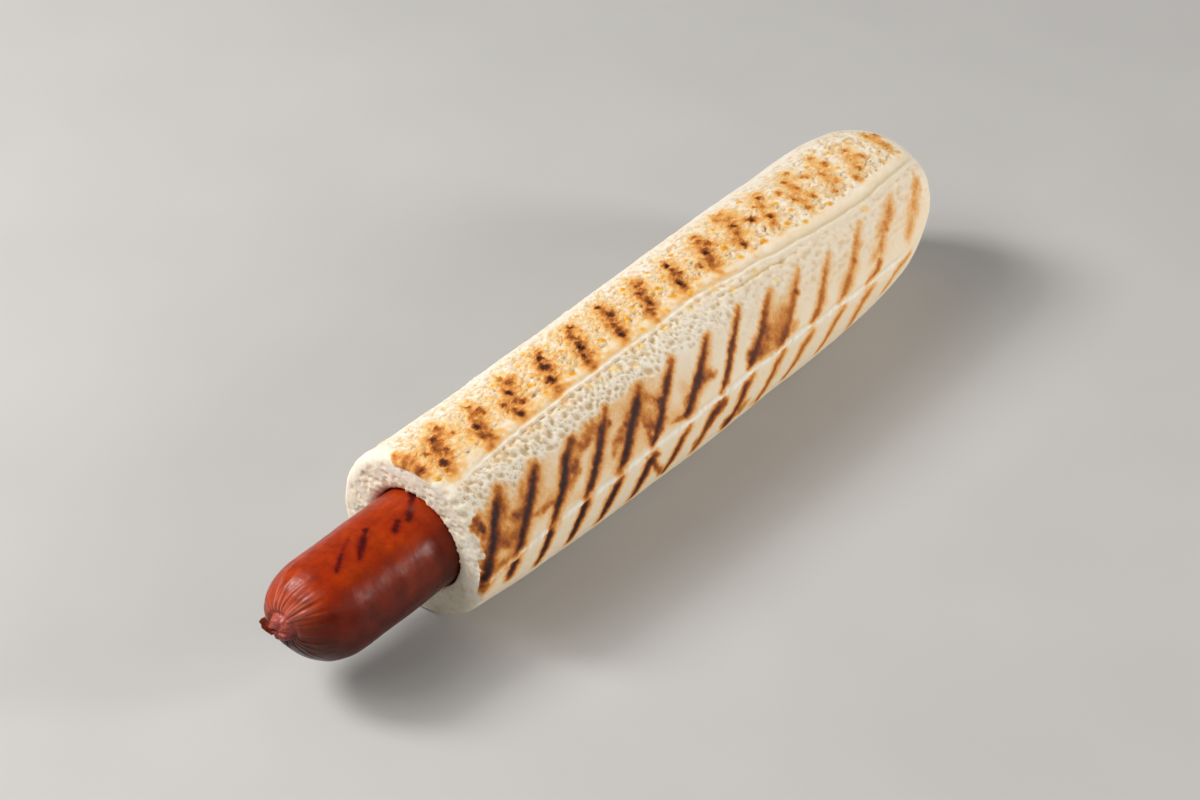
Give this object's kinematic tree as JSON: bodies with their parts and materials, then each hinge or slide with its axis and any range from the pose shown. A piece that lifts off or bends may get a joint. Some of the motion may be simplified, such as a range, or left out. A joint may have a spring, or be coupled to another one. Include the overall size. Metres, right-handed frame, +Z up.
{
  "type": "hot dog",
  "caption": "Hot dog in a bored roll: a long pale wheat bun, closed and rounded at one end, with a blind hole that holds a grilled sausage sticking out of the cut end.",
  "frame": {"origin": "centre of the bounding box, on the surface that the roll rests on", "axes": "+X along the roll, from the sausage's tip to the closed end, +Z up"},
  "size_m": [0.2486, 0.0554, 0.0498],
  "materials": {
    "bun_crust": "matte pale baked skin with brown grill marks",
    "bun_crumb": "matte open white crumb",
    "sausage_casing": "satin smoked casing"
  },
  "bodies": {
    "root": {"bun": "bun_crust", "sausage": "sausage_casing"}
  },
  "joints": []
}
